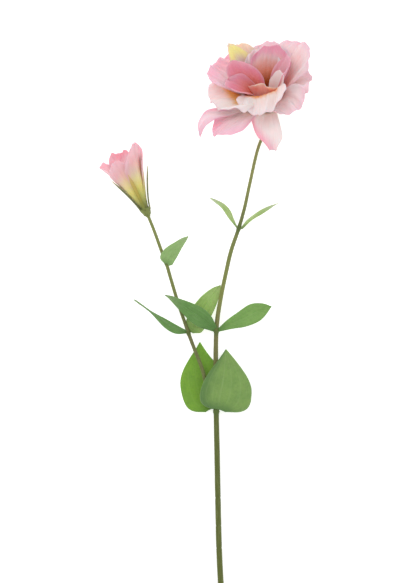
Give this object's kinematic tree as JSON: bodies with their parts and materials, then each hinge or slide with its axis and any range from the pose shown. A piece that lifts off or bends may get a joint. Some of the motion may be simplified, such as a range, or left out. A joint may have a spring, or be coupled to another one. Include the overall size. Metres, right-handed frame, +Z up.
{
  "type": "lisianthus flower",
  "caption": "Cut stem of lisianthus lying on a surface: a wide open ruffled double bloom, a half open furled bud on a side shoot, and smooth leaves at the nodes.",
  "frame": {"origin": "middle of the spray's footprint, on the surface that it lies on", "axes": "+Z up from the surface, +Y along the stem from the cut end towards the flowers, +X across"},
  "size_m": [0.1892, 0.501, 0.0662],
  "materials": {
    "stem": "smooth olive green plant stem",
    "leaf": "satin green leaf with a faint bloom",
    "young_leaf": "pale green young leaf",
    "sepal": "matt dark green sepal",
    "petal": "soft pink petal, coral and gold in the throat",
    "bud_petal": "pink bud petal, yellow green at the base",
    "pistil": "yellow green pistil"
  },
  "bodies": {
    "root": {"stem": "stem", "leaf_low_left": "leaf", "leaf_low_right": "leaf", "leaf_middle_left": "leaf", "leaf_middle_right": "leaf", "leaf_upper_left": "young_leaf", "leaf_upper_right": "young_leaf", "shoot_leaf_low_left": "leaf", "shoot_leaf_low_right": "young_leaf", "shoot_leaf_upper": "leaf", "bloom_petals": "petal", "bloom_calyx": "sepal", "bloom_pistil": "pistil", "bud_petals": "bud_petal", "bud_calyx": "sepal"}
  },
  "joints": []
}
